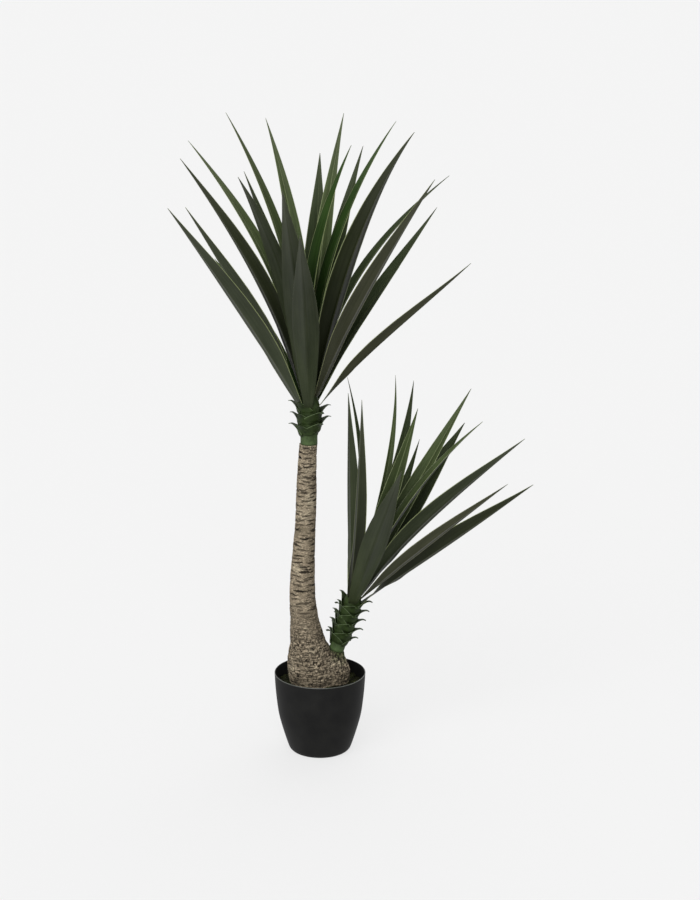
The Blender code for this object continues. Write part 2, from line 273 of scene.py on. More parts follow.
# Black polypropylene, moulded with a fine matt grain: a dull, slightly uneven sheen.
black_polypropylene, tree = new_material("matt black polypropylene")
place = add(tree, "ShaderNodeTexCoord").outputs["Object"]
grain = add(tree, "ShaderNodeTexNoise",
            {"Vector": place, "Scale": to_a_metre(1.111), "Detail": 2.0})
scuffs = add(tree, "ShaderNodeTexNoise",
             {"Vector": place, "Scale": to_a_metre(35.71), "Detail": 5.0})
shade = add(tree, "ShaderNodeValToRGB", {"Fac": scuffs.outputs["Fac"]},
            stops=((0.35, "#161616"), (0.7, "#1d1d1c")))
dull = add(tree, "ShaderNodeMapRange",
           {"Value": scuffs.outputs["Fac"], "To Min": 0.42, "To Max": 0.58})
bump = add(tree, "ShaderNodeBump",
           {"Height": grain.outputs["Fac"], "Strength": 0.25, "Distance": 0.0002})
finish_material(tree, {
    "Base Color": shade.outputs["Color"],
    "Roughness": dull.outputs["Result"],
    "Specular IOR Level": 0.12,
    "Normal": bump.outputs["Normal"],
})

# The same plastic on the rim, paler and smoother: a painted highlight, so it draws a thin line.
rim_painted_highlight, tree = new_material("polypropylene rim, painted highlight")
finish_material(tree, {"Base Color": tone("#4a4c47"), "Roughness": 0.35})

rim_radius = POT_WALL / 2
rim_out, rim_up = POT_OUTSIDE[-1][0] - rim_radius, POT_OUTSIDE[-1][1] - rim_radius
rim_angles = [pi * k / RIM_STEPS for k in range(RIM_STEPS + 1)]
rim = [(rim_out + rim_radius * cos(a), rim_up + rim_radius * sin(a)) for a in rim_angles]
outer = [(radius, height) for radius, height in rounded(POT_OUTSIDE, POT_CUTS) if height < rim_up]
inner = [(radius - POT_WALL, height) for radius, height in outer
         if height > POT_FLOOR + POT_CORNER_HEIGHT]
floor_edge = inner[0][0] - POT_CORNER_WIDTH
profile = [(0.0, 0.0), *outer, *rim, *reversed(inner), (floor_edge, POT_FLOOR), (0.0, POT_FLOOR)]
mesh = turned_mesh("pot_shell", profile, POT_SIDES)
for face in mesh.polygons:
    on_rim = face.center.xy.length > rim_out * MM and face.center.z > rim_up * MM
    face.material_index = 1 if on_rim else 0
dress("pot_shell", mesh, ["pot"], "pot", black_polypropylene, rim_painted_highlight)

# The filling
# The pot is filled hard to 25 mm under its rim, and dark reindeer moss is scattered and glued
# on top, round the trunk's foot.

FILL_EDGE = 161.0
FILL_CROWN = 4.0
FILL_CROWN_RINGS = (0.97, 0.93, 0.88, 0.82, 0.75, 0.66, 0.55, 0.42, 0.28, 0.14)
FILL_SIDE_GAP = 0.6
FILL_LOW_GAP = 0.5
FILL_CORNER_WIDTH = 5.0
FILL_SIDES = 96
MOSS_EDGE = 96.0
MOSS_SWELL = 1.6
MOSS_SWELLS_A_METRE = 90
MOSS_SEED = 7
TUFTS_A_SQUARE_METRE = 26000.0
TUFT_RADIUS = 3.2
TUFT_RAGGED = 0.75
TUFT_FLAT = 0.75
TUFT_WAVES_A_METRE = 900
TUFT_TILT = 0.4

# Dried and dyed moss: almost black brown between the tufts, with dull olive tips.
dark_moss, tree = new_material("dyed dark moss")
place = add(tree, "ShaderNodeTexCoord").outputs["Object"]
clumps = add(tree, "ShaderNodeTexNoise",
             {"Vector": place, "Scale": to_a_metre(14.29), "Detail": 4.0})
threads = add(tree, "ShaderNodeTexNoise",
              {"Vector": place, "Scale": to_a_metre(1.667), "Detail": 3.0})
tangle = add(tree, "ShaderNodeMath", {0: clumps.outputs["Fac"], 1: threads.outputs["Fac"]},
             operation="MULTIPLY")
shade = add(tree, "ShaderNodeValToRGB", {"Fac": tangle.outputs["Value"]},
            stops=((0.16, "#0f0f08"), (0.26, "#1f2111"), (0.38, "#3d4122")))
bump = add(tree, "ShaderNodeBump",
           {"Height": threads.outputs["Fac"], "Strength": 0.8, "Distance": 0.0015})
finish_material(tree, {
    "Base Color": shade.outputs["Color"],
    "Roughness": 0.95,
    "Specular IOR Level": 0.1,
    "Normal": bump.outputs["Normal"],
})

side = [(radius - FILL_SIDE_GAP, height) for radius, height in inner if height < FILL_EDGE]
fill_low, fill_radius = POT_FLOOR + FILL_LOW_GAP, side[-1][0]
profile = [(0.0, fill_low), (side[0][0] - FILL_CORNER_WIDTH, fill_low), *side]
profile += [(fill_radius * share, FILL_EDGE + FILL_CROWN * (1 - share ** 3))
            for share in FILL_CROWN_RINGS]
profile.append((0.0, FILL_EDGE + FILL_CROWN))
fill_mesh = turned_mesh("filling", profile, FILL_SIDES)
moss_from = (FILL_EDGE - 1) * MM
for corner in fill_mesh.vertices:
    if corner.co.z > moss_from and corner.co.xy.length < MOSS_EDGE * MM:
        corner.co.z += MOSS_SWELL * MM * noise.noise(corner.co * MOSS_SWELLS_A_METRE)

tuft_mesh = bpy.data.meshes.new("moss tuft")
shape = bmesh.new()
bmesh.ops.create_icosphere(shape, subdivisions=1, radius=TUFT_RADIUS * MM)
for corner in shape.verts:
    corner.co *= 1 + TUFT_RAGGED * noise.noise(corner.co * TUFT_WAVES_A_METRE)
    corner.co.z *= TUFT_FLAT
shape.to_mesh(tuft_mesh)
shape.free()
tuft = bpy.data.objects.new("moss tuft", tuft_mesh)
scene.collection.objects.link(tuft)


def new_nodes(name, sockets):
    """A geometry tree with named inputs, and the sockets that give their values in it."""
    tree = bpy.data.node_groups.new(name, "GeometryNodeTree")
    for label, kind in sockets:
        tree.interface.new_socket(label, in_out="INPUT", socket_type="NodeSocket" + kind)
    tree.interface.new_socket("Geometry", in_out="OUTPUT", socket_type="NodeSocketGeometry")
    return tree, add(tree, "NodeGroupInput").outputs


def grown(name, mesh, tree, values):
    """The plain mesh that a geometry tree makes from a mesh and its input values."""
    carrier = bpy.data.objects.new(name, mesh)
    scene.collection.objects.link(carrier)
    modifier = carrier.modifiers.new(name, "NODES")
    modifier.node_group = tree
    for item in tree.interface.items_tree:
        if item.in_out == "INPUT" and item.name in values:
            modifier[item.identifier] = values[item.name]
    graph = bpy.context.evaluated_depsgraph_get()
    result = bpy.data.meshes.new_from_object(carrier.evaluated_get(graph))
    bpy.data.objects.remove(carrier)
    return result


tree, given = new_nodes("moss over the filling", (
    ("Geometry", "Geometry"),
    ("Tufts a square metre", "Float"),
    ("Lowest", "Float"),
    ("Smallest", "Float"),
    ("Largest", "Float"),
    ("Tuft", "Object"),
    ("Seed", "Int"),
    ("Moss", "Material"),
))
height = add(tree, "ShaderNodeSeparateXYZ",
             {"Vector": add(tree, "GeometryNodeInputPosition").outputs["Position"]})
on_top = add(tree, "FunctionNodeCompare", {"A": height.outputs["Z"], "B": given["Lowest"]},
             data_type="FLOAT", operation="GREATER_THAN")
spread = add(tree, "GeometryNodeDistributePointsOnFaces", {
    "Mesh": given["Geometry"],
    "Selection": on_top.outputs["Result"],
    "Density": given["Tufts a square metre"],
    "Seed": given["Seed"],
})
size = add(tree, "FunctionNodeRandomValue",
           {2: given["Smallest"], 3: given["Largest"], "Seed": given["Seed"]},
           data_type="FLOAT")
turn = add(tree, "FunctionNodeRandomValue", {
    0: (-TUFT_TILT, -TUFT_TILT, 0.0),
    1: (TUFT_TILT, TUFT_TILT, 6.28),
    "Seed": given["Seed"],
}, data_type="FLOAT_VECTOR")
tufts = add(tree, "GeometryNodeInstanceOnPoints", {
    "Points": spread.outputs["Points"],
    "Instance": add(tree, "GeometryNodeObjectInfo", {"Object": given["Tuft"]}).outputs["Geometry"],
    "Rotation": turn.outputs["Value"],
    "Scale": size.outputs[1],
})
whole = add(tree, "GeometryNodeJoinGeometry", {"Geometry": tufts.outputs["Instances"]})
tree.links.new(given["Geometry"], whole.inputs["Geometry"])
real = add(tree, "GeometryNodeRealizeInstances", {"Geometry": whole.outputs["Geometry"]})
coloured = add(tree, "GeometryNodeSetMaterial",
               {"Geometry": real.outputs["Geometry"], "Material": given["Moss"]})
add(tree, "NodeGroupOutput", {"Geometry": coloured.outputs["Geometry"]})

moss_mesh = grown("moss", fill_mesh, tree, {
    "Tufts a square metre": TUFTS_A_SQUARE_METRE,
    "Lowest": moss_from,
    "Smallest": 0.5,
    "Largest": 1.5,
    "Tuft": tuft,
    "Seed": MOSS_SEED,
    "Moss": dark_moss,
})
bpy.data.objects.remove(tuft)
dress("mossy_filling", moss_mesh, ["pot_fill"], "moss")

# The trunk
# Moulded from a real yucca stem and painted: it leans, swells at its foot, and has the short
# level cracks of old leaf scars, which turn to a fine chequer of cracks round the foot.

Ring = namedtuple("Ring", "height centre half_width half_depth")

TRUNK_OUTLINE = (
    Ring(166.3, -17.0, 53.5, 52.0),
    Ring(190.0, -17.8, 56.8, 54.0),
    Ring(215.0, -21.2, 55.5, 52.0),
    Ring(240.0, -25.5, 48.8, 47.5),
    Ring(262.0, -27.0, 43.2, 43.2),
    Ring(290.0, -32.0, 38.4, 38.4),
    Ring(323.0, -36.0, 33.8, 33.8),
    Ring(362.0, -40.0, 31.2, 31.2),
    Ring(421.0, -40.5, 28.9, 28.9),
    Ring(499.0, -36.8, 25.6, 25.6),
    Ring(558.0, -33.3, 24.2, 24.2),
    Ring(634.0, -30.8, 23.6, 23.6),
    Ring(680.0, -29.8, 22.0, 22.0),
    Ring(741.5, -26.6, 20.7, 20.7),
)
BARK_ROW = 1.25
TRUNK_SIDES = 190
BARK_SUNK = 0.3

# The cracks of a kind lie in cells round the stem: how many to a turn, how far apart going up,
# half the length in cells, half the thickness in millimetres, the share of cells that have one,
# and how far one sags at its ends. The share of a cell that a crack may be off is the scatter.
Cracks = namedtuple("Cracks", "columns spacing half_length half_thickness share bend upright seed")
LEAF_SCARS = Cracks(5, 10.4, 0.46, 2.7, 0.97, 8.5, False, 1)
SHORT_SCARS = Cracks(8, 7.4, 0.36, 1.5, 0.60, 3.0, False, 2)
FOOT_SCARS = Cracks(24, 6.0, 0.50, 2.0, 0.94, 1.2, False, 3)
FOOT_CHECKS = Cracks(38, 10.0, 0.50, 1.9, 0.88, 0.8, True, 4)
CRACK_SCATTER = 0.8
CRACK_DEPTH = 1.3
FOOT_START = 250.0
FOOT_END = 410.0
LIP = 0.03
LIP_TORN = 1.6

# How far each wave goes in millimetres, and how many of them go to a millimetre.
WAVES_OF_CRACKS = ((1.3, 0.24), (3.0, 0.04))
SWELLS_OF_BARK = ((0.9, 0.045), (0.5, 0.16))

# The bark swells where trunk and stub meet. This is the stub, roughly, as seen from the trunk.
MELD_REACH = 20.0
MELD_HEIGHT = MELD_REACH / 3
STUB_FOOT = Vector((41.3, 0, 166.3))
STUB_TOP = Vector((37.0, 3.7, 244.0))
STUB_WIDE = 29.0
STUB_SLIM = 18.5
STUB_SLIMS_FROM = 200.0
STUB_LEANS_FROM = 215.0


def smooth_step(low, high, value):
    """A soft ramp, from 0 at the low value to 1 at the high one."""
    t = min(max((value - low) / (high - low), 0), 1)
    return t * t * (3 - 2 * t)


def ring_at(outline, height):
    """The ring at a height, on a smooth curve through the rings of an outline."""
    i = max(k for k, ring in enumerate(outline[:-1]) if ring.height <= height + 1e-6)
    low, high = outline[i], outline[i + 1]
    before = outline[max(i - 1, 0)]
    after = outline[min(i + 2, len(outline) - 1)]
    span = high.height - low.height
    t = (height - low.height) / span
    values = []
    for p, a, b, q in zip(before, low, high, after):
        start = (b - p) / (high.height - before.height)
        end = (q - a) / (after.height - low.height)
        values.append(
            a * (2 * t ** 3 - 3 * t ** 2 + 1)
            + b * (3 * t ** 2 - 2 * t ** 3)
            + start * span * (t ** 3 - 2 * t ** 2 + t)
            + end * span * (t ** 3 - t ** 2)
        )
    return Ring(*values)


def crack_at(kind, angle, height, radius):
    """Depth, from 0 to 1, of bent cracks, one to a cell of a loose grid that closes on itself."""
    turn = angle / (2 * pi) * kind.columns
    climb = height / kind.spacing
    cell_width = 2 * pi * radius / kind.columns
    deepest = 0.0
    for row in range(floor(climb) - 1, floor(climb) + 2):
        for column in range(floor(turn) - 1, floor(turn) + 2):
            cell = (row + 0.5, column % kind.columns + 0.5, kind.seed + 0.5)
            aside, above, bent = noise.cell_vector(cell)
            strength = (aside * 7.1 + above * 3.7 + bent * 5.3) % 1
            if strength > kind.share:
                continue
            across = turn - column - 0.5 - CRACK_SCATTER * (aside - 0.5)
            up = climb - row - 0.5 - CRACK_SCATTER * (above - 0.5)
            if kind.upright:
                run, off = up / kind.half_length, across * cell_width
            else:
                run, off = across / kind.half_length, up * kind.spacing
            if abs(run) >= 1:
                continue
            off = abs(off - (bent - 0.4) * kind.bend * run * run)
            half = kind.half_thickness * (1 - run * run) * (0.7 + 0.6 * aside)
            depth = (1 - smooth_step(0.55, 1.05, off / half)) * (1 - 0.3 * strength / kind.share)
            deepest = max(deepest, depth)
    return deepest


def uneven(place, waves):
    """How far a place on a stem is off its smooth shape, by waves of several lengths."""
    return sum(height * noise.noise(place * fineness) for height, fineness in waves)


def bark_at(place, angle, radius, foot):
    """Depth of the cracks, and how far the bark stands out, at a place on a stem."""
    ragged = place.z + uneven(place, WAVES_OF_CRACKS)
    shifted = angle + 0.10 * noise.noise(place * 0.12 + Vector((9, 5, 3)))
    crack = max(
        (1 - 0.6 * foot) * crack_at(LEAF_SCARS, shifted, ragged, radius),
        0.8 * crack_at(SHORT_SCARS, shifted, ragged, radius),
    )
    if foot > 0:
        crack = max(
            crack,
            foot * crack_at(FOOT_SCARS, shifted, ragged, radius),
            foot * crack_at(FOOT_CHECKS, shifted, ragged, radius),
        )
    lumps = uneven(place, SWELLS_OF_BARK) * (0.6 + 0.9 * foot)
    return crack, lumps - CRACK_DEPTH * crack


def bark_mesh(name, rows, sides, ring_of, foot_of, green_of, distance_of):
    """A closed mesh of bark, which swells where another stem is near.

    Its upper lip is torn, and dark in patches. Its corners keep their crack's depth and their
    green for the paint.
    """
    mesh = bpy.data.meshes.new(name)
    corners, cracks, greens, faces = [], [], [], []
    for row in rows:
        centre, across, along, half_width, half_depth = ring_of(row)
        foot = foot_of(row)
        lip = smooth_step(rows[-1] - LIP * (rows[-1] - rows[0]), rows[-1], row)
        for k in range(sides):
            angle = 2 * pi * k / sides
            place = centre + across * cos(angle) * half_width + along * sin(angle) * half_depth
            crack, stand = bark_at(place, angle, half_width, foot)
            crack = max(crack, 0.8 * lip * smooth_step(-0.1, 0.3, noise.noise(place * 0.25)))
            out = (place - centre).normalized()
            torn = across.cross(along) * lip * LIP_TORN * noise.noise(place * 0.3)
            stand += MELD_HEIGHT * max(1 - max(distance_of(place), 0) / MELD_REACH, 0) ** 2
            corners.append((place + out * (stand - BARK_SUNK) + torn) * MM)
            cracks.append(crack)
            greens.append(green_of(row, place))
    for r in range(len(rows) - 1):
        for k in range(sides):
            after = (k + 1) % sides
            faces.append((r * sides + k, r * sides + after,
                          (r + 1) * sides + after, (r + 1) * sides + k))
    faces.append(tuple(reversed(range(sides))))
    faces.append(tuple((len(rows) - 1) * sides + k for k in range(sides)))
    mesh.from_pydata(corners, [], faces)
    mesh.attributes.new("crack", "FLOAT", "POINT").data.foreach_set("value", cracks)
    mesh.attributes.new("green", "FLOAT", "POINT").data.foreach_set("value", greens)
    mesh.shade_smooth()
    return mesh


# Painted polyurethane bark: dry and matt, beige on the ridges, with darker grain and pale chips,
# and painted shade, nearly black, in the cracks. The grain is drawn 2 mm high and 5 mm wide, so
# that it shows.
painted_bark, tree = new_material("painted polyurethane bark")
place = add(tree, "ShaderNodeTexCoord").outputs["Object"]
crack = add(tree, "ShaderNodeAttribute", attribute_name="crack").outputs["Fac"]
green = add(tree, "ShaderNodeAttribute", attribute_name="green").outputs["Fac"]
patches = add(tree, "ShaderNodeTexNoise",
              {"Vector": place, "Scale": to_a_metre(38.46), "Detail": 4.0})
flat = add(tree, "ShaderNodeMapping", {"Vector": place, "Scale": (1.0, 1.0, 2.4)})
grain = add(tree, "ShaderNodeTexNoise", {
    "Vector": flat.outputs["Vector"],
    "Scale": to_a_metre(4.762),
    "Detail": 4.0,
    "Roughness": 0.7,
})
ground = add(tree, "ShaderNodeValToRGB", {"Fac": patches.outputs["Fac"]},
             stops=((0.30, "#746a58"), (0.5, "#887c69"), (0.70, "#998e79")))
greened = add(tree, "ShaderNodeMix", {0: green, 6: ground.outputs["Color"], 7: tone("#46562b")},
              data_type="RGBA")
flecks = add(tree, "ShaderNodeValToRGB", {"Fac": grain.outputs["Fac"]},
             stops=((0.36, 0.22), (0.45, 0.9), (0.56, 1.05), (0.64, 2.4)))
speckled = add(tree, "ShaderNodeMix", {
    0: 0.9,
    6: greened.outputs[2],
    7: flecks.outputs["Color"],
}, data_type="RGBA", blend_type="MULTIPLY")
# Painted shade: the cracks are coloured nearly black.
painted = add(tree, "ShaderNodeMix", {0: crack, 6: speckled.outputs[2], 7: tone("#17130e")},
              data_type="RGBA")
bump = add(tree, "ShaderNodeBump",
           {"Height": grain.outputs["Fac"], "Strength": 0.7, "Distance": 0.0012})
finish_material(tree, {
    "Base Color": painted.outputs[2],
    "Roughness": 0.9,
    "Specular IOR Level": 0.15,
    "Normal": bump.outputs["Normal"],
})


def trunk_ring(height):
    """The trunk's middle, its two level directions and its half widths at a height."""
    ring = ring_at(TRUNK_OUTLINE, height)
    centre = Vector((ring.centre, 0, height))
    return centre, Vector((1, 0, 0)), Vector((0, 1, 0)), ring.half_width, ring.half_depth


def from_stub(place):
    """How far a place is from the side stub, about."""
    height = min(place.z, STUB_TOP.z)
    leaned = max(height - STUB_LEANS_FROM, 0) / (STUB_TOP.z - STUB_LEANS_FROM)
    middle = STUB_FOOT.lerp(STUB_TOP, leaned)
    slimmed = smooth_step(STUB_SLIMS_FROM, STUB_TOP.z, height)
    radius = STUB_WIDE - (STUB_WIDE - STUB_SLIM) * slimmed
    return (Vector((middle.x, middle.y, height)) - place).length - radius


foot_height, top_height = TRUNK_OUTLINE[0].height, TRUNK_OUTLINE[-1].height
row_count = round((top_height - foot_height) / BARK_ROW)
rows = [foot_height + (top_height - foot_height) * r / row_count for r in range(row_count + 1)]
mesh = bark_mesh("trunk_bark", rows, TRUNK_SIDES, trunk_ring,
                 lambda height: 1 - smooth_step(FOOT_START, FOOT_END, height),
                 lambda height, place: 0.0, from_stub)
dress("trunk_bark", mesh, ["trunk"], "bark", painted_bark)

# The side stub
# A short side stem, moulded in one with the trunk's foot and painted with it. It turns from
# level on the filling to the slant of the lower head.

Head = namedtuple("Head", "foot axis core_radius core_taper core_height")
SIDE_HEAD = Head(Vector((76, 0, 366)), Vector((0.31, -0.03, 1)).normalized(), 18.5, 0.25, 68)
SIDE_NECK_HEIGHT = 127.0
NECK_GAP = 0.3
STUB_OUTLINE = (
    (Vector((40.0, 0, 166.3)), 28.5, 0.0),
    (Vector((41.0, 0, 182.0)), 29.3, 0.0),
    (Vector((41.3, 0, 198.0)), 29.0, 0.0),
    (Vector((41.0, 0.5, 210.0)), 26.8, 0.2),
    (Vector((40.2, 1.2, 221.0)), 23.5, 0.5),
    (Vector((39.0, 2.2, 232.0)), 20.2, 0.8),
    (SIDE_HEAD.foot - SIDE_HEAD.axis * (SIDE_NECK_HEIGHT + NECK_GAP), 18.2, 1.0),
)
STUB_ROWS_A_RING = 11
STUB_SIDES = 130


def stub_ring(along):
    """The stub's ring at a number of rings up from its foot."""
    i = min(floor(along), len(STUB_OUTLINE) - 2)
    t = along - i
    low, low_radius, low_turn = STUB_OUTLINE[i]
    high, high_radius, high_turn = STUB_OUTLINE[i + 1]
    turn = low_turn + (high_turn - low_turn) * t
    axis = Vector((0, 0, 1)).lerp(SIDE_HEAD.axis, turn).normalized()
    across = Vector((0, 1, 0)).cross(axis).normalized()
    radius = low_radius + (high_radius - low_radius) * t
    return low.lerp(high, t), across, axis.cross(across), radius, radius


def stub_green(along, place):
    """Green paint that runs down from the neck over the top of the stub."""
    return 0.85 * smooth_step(3.8, 5.8, along + 1.6 * noise.noise(place * 0.09))


def from_trunk(place):
    """How far a place is from the trunk, about."""
    ring = ring_at(TRUNK_OUTLINE, max(place.z, foot_height))
    return Vector((place.x - ring.centre, place.y)).length - ring.half_width


row_count = STUB_ROWS_A_RING * (len(STUB_OUTLINE) - 1)
rows = [r / STUB_ROWS_A_RING for r in range(row_count + 1)]
mesh = bark_mesh("side_stub_bark", rows, STUB_SIDES, stub_ring,
                 lambda along: 1.0, stub_green, from_trunk)
dress("side_stub_bark", mesh, ["side_stub"], "bark", painted_bark)

# The green necks
# Under each head the stem is bare green plastic, clasped by the stumps of old leaves. Each
# stump is a pointed plate that hugs the neck and curls its tip outwards, and they climb in
# a spiral, each one glued over the last.

Neck = namedtuple(
    "Neck",
    "height low_radius high_radius flare_start flare_end first last scales first_angle turn",
)
MAIN_NECK = Neck(90.2, 19.4, 24.3, 19.0, 34.0, 19.8, 77.8, 12, radians(-17), radians(72))
SIDE_NECK = Neck(
    SIDE_NECK_HEIGHT, 17.5, 20.2, 8.0, 64.0, 12.7, 112.5, 22, radians(54), radians(-144)
)
MAIN_HEAD = Head(Vector((-25, 0, 832)), Vector((0, 0, 1)), 23.5, 0.21, 104)
CORE_RINGS = 24
CORE_SIDES = 64
GREEN_FADE = 14.0

SCALE_SUNK = 2.0
SCALE_THICKNESS = 2.2
SCALE_THIN_EDGE = 0.5
SCALE_THIN_TIP = 0.45
SCALE_WRAP = 26.0
SCALE_CUTS = 3
SCALE_POINTS = 5
Station = namedtuple("Station", "out up half_width")
SCALE_STATIONS = (
    Station(0.0, -2.0, 12.0),
    Station(2.6, 1.0, 23.0),
    Station(4.4, 5.0, 27.0),
    Station(5.6, 10.0, 23.5),
    Station(8.0, 16.0, 15.5),
    Station(13.5, 22.0, 7.2),
    Station(19.5, 25.4, 4.4),
    Station(25.5, 24.6, 2.8),
)
SCALE_GREEN = 0.5
# The green value of the scales' rims, paler: a painted highlight.
RIM_HIGHLIGHT_GREEN = 1.0


def sheet_mesh(name, sections, upper, lower):
    """A thin closed blade, with the numbers of its upper and its lower finish.

    A section is its length along the blade and a row of (inner place, outer place) pairs. The
    UV map runs once across the blade, and in metres along it.
    """
    mesh = bpy.data.meshes.new(name)
    shape = bmesh.new()
    uv = shape.loops.layers.uv.new("UVMap")
    count = len(sections[0][1])
    rows = []
    for length, pairs in sections:
        inner_row = [shape.verts.new(pair[0] * MM) for pair in pairs]
        outer_row = [shape.verts.new(pair[1] * MM) for pair in pairs]
        rows.append((length, inner_row, outer_row))

    def face(corners, places, material):
        """A smooth face, with a place on the UV map for each corner."""
        made = shape.faces.new(corners)
        made.smooth = True
        made.material_index = material
        for loop, place in zip(made.loops, places):
            loop[uv].uv = place

    for (near, inner_near, outer_near), (far, inner_far, outer_far) in zip(rows, rows[1:]):
        for i in range(count - 1):
            u, v = i / (count - 1), (i + 1) / (count - 1)
            places = ((u, near), (v, near), (v, far), (u, far))
            face((inner_near[i], inner_near[i + 1], inner_far[i + 1], inner_far[i]), places, upper)
            face((outer_near[i + 1], outer_near[i], outer_far[i], outer_far[i + 1]),
                 (places[1], places[0], places[3], places[2]), lower)
        for i, u in ((0, 0.0), (count - 1, 1.0)):
            face((inner_near[i], inner_far[i], outer_far[i], outer_near[i]),
                 ((u, near), (u, far), (u, far), (u, near)), upper)
    for length, inner_row, outer_row in (rows[0], rows[-1]):
        loop = inner_row + outer_row[::-1]
        face(loop, [(0.5, length)] * len(loop), lower)
    bmesh.ops.recalc_face_normals(shape, faces=shape.faces[:])
    shape.to_mesh(mesh)
    shape.free()
    return mesh


def scale_mesh():
    """One clasping scale, with its root on the origin, the neck behind it and its tip outwards.

    Its corners keep their green for the paint, paler along its rims as a painted highlight.
    """
    stations = rounded(SCALE_STATIONS, SCALE_CUTS)
    sections, greens = [], []
    for r, (out, up, half) in enumerate(stations):
        t = r / (len(stations) - 1)
        before, after = stations[max(r - 1, 0)], stations[min(r + 1, len(stations) - 1)]
        ahead = Vector((after[0] - before[0], 0, after[1] - before[1])).normalized()
        inward = ahead.cross(Vector((0, 1, 0)))
        pairs = []
        for k in range(-SCALE_POINTS, SCALE_POINTS + 1):
            a = k / SCALE_POINTS
            round_neck = a * half / SCALE_WRAP
            place = Vector((out, SCALE_WRAP * sin(round_neck), up))
            place.x -= SCALE_WRAP * (1 - cos(round_neck))
            thick = SCALE_THICKNESS / 2 * (1 - SCALE_THIN_EDGE * a * a) * (1 - SCALE_THIN_TIP * t)
            pairs.append((place + inward * thick, place - inward * thick))
        sections.append((up * MM, pairs))
        rim = RIM_HIGHLIGHT_GREEN if up > SCALE_STATIONS[2].up else SCALE_GREEN
        greens += 2 * [rim, *[SCALE_GREEN] * (len(pairs) - 2), rim]
    mesh = sheet_mesh("clasping scale", sections, 0, 0)
    mesh.attributes.new("green", "FLOAT", "POINT").data.foreach_set("value", greens)
    return mesh


tree, given = new_nodes("scales up a neck", (
    ("Geometry", "Geometry"),
    ("Scales", "Int"),
    ("First height", "Float"),
    ("Last height", "Float"),
    ("First angle", "Float"),
    ("Turn", "Float"),
    ("Low radius", "Float"),
    ("High radius", "Float"),
    ("Flare start", "Float"),
    ("Flare end", "Float"),
    ("Smallest", "Float"),
    ("Largest", "Float"),
    ("Least nod", "Float"),
    ("Most nod", "Float"),
    ("Scale", "Object"),
    ("Seed", "Int"),
    ("Finish", "Material"),
))
line = add(tree, "GeometryNodeMeshLine", {"Count": given["Scales"], "Offset": (0, 0, 0)})
index = add(tree, "GeometryNodeInputIndex").outputs["Index"]
last = add(tree, "ShaderNodeMath", {0: given["Scales"], 1: 1.0}, operation="SUBTRACT")
height = add(tree, "ShaderNodeMapRange", {
    "Value": index,
    "From Max": last.outputs["Value"],
    "To Min": given["First height"],
    "To Max": given["Last height"],
})
radius = add(tree, "ShaderNodeMapRange", {
    "Value": height.outputs["Result"],
    "From Min": given["Flare start"],
    "From Max": given["Flare end"],
    "To Min": given["Low radius"],
    "To Max": given["High radius"],
})
angle = add(tree, "ShaderNodeMath", {0: index, 1: given["Turn"], 2: given["First angle"]},
            operation="MULTIPLY_ADD")
turn = add(tree, "ShaderNodeCombineXYZ", {"Z": angle.outputs["Value"]})
flat = add(tree, "ShaderNodeCombineXYZ",
           {"X": radius.outputs["Result"], "Z": height.outputs["Result"]})
place = add(tree, "ShaderNodeVectorRotate",
            {"Vector": flat.outputs["Vector"], "Rotation": turn.outputs["Vector"]},
            rotation_type="EULER_XYZ")
points = add(tree, "GeometryNodeSetPosition",
             {"Geometry": line.outputs["Mesh"], "Position": place.outputs["Vector"]})
size = add(tree, "FunctionNodeRandomValue",
           {2: given["Smallest"], 3: given["Largest"], "Seed": given["Seed"]},
           data_type="FLOAT")
nod = add(tree, "FunctionNodeRandomValue",
          {2: given["Least nod"], 3: given["Most nod"], "Seed": given["Seed"]},
          data_type="FLOAT")
nodding = add(tree, "ShaderNodeCombineXYZ", {"Y": nod.outputs[1], "Z": angle.outputs["Value"]})
scales = add(tree, "GeometryNodeInstanceOnPoints", {
    "Points": points.outputs["Geometry"],
    "Instance": add(tree, "GeometryNodeObjectInfo", {"Object": given["Scale"]}).outputs["Geometry"],
    "Rotation": nodding.outputs["Vector"],
    "Scale": size.outputs[1],
})
whole = add(tree, "GeometryNodeJoinGeometry", {"Geometry": scales.outputs["Instances"]})
tree.links.new(given["Geometry"], whole.inputs["Geometry"])
real = add(tree, "GeometryNodeRealizeInstances", {"Geometry": whole.outputs["Geometry"]})
coloured = add(tree, "GeometryNodeSetMaterial",
               {"Geometry": real.outputs["Geometry"], "Material": given["Finish"]})
add(tree, "NodeGroupOutput", {"Geometry": coloured.outputs["Geometry"]})
scale_tree = tree

# Moulded polyethylene, painted green: satin, fresh green on the bare neck, darker on the
# scales, and paler along their cut rims, where a highlight is painted.
green_polyethylene, tree = new_material("green polyethylene")
place = add(tree, "ShaderNodeTexCoord").outputs["Object"]
part = add(tree, "ShaderNodeAttribute", attribute_name="green").outputs["Fac"]
patches = add(tree, "ShaderNodeTexNoise",
              {"Vector": place, "Scale": to_a_metre(13.33), "Detail": 3.0})
grain = add(tree, "ShaderNodeTexNoise",
            {"Vector": place, "Scale": to_a_metre(2.0), "Detail": 3.0})
# The last stop, pale, is the painted highlight on the scales' rims.
paint = add(tree, "ShaderNodeValToRGB", {"Fac": part},
            stops=((0.0, "#435333"), (0.5, "#2b381b"), (0.86, "#33421f"), (1.0, "#58654a")))
cloudy = add(tree, "ShaderNodeValToRGB", {"Fac": patches.outputs["Fac"]},
             stops=((0.3, 0.6), (0.5, 1.0), (0.7, 1.35)))
shade = add(tree, "ShaderNodeMix", {
    0: 1.0,
    6: paint.outputs["Color"],
    7: cloudy.outputs["Color"],
}, data_type="RGBA", blend_type="MULTIPLY")
bump = add(tree, "ShaderNodeBump",
           {"Height": grain.outputs["Fac"], "Strength": 0.3, "Distance": 0.0006})
finish_material(tree, {
    "Base Color": shade.outputs[2],
    "Roughness": 0.5,
    "Specular IOR Level": 0.15,
    "Normal": bump.outputs["Normal"],
})

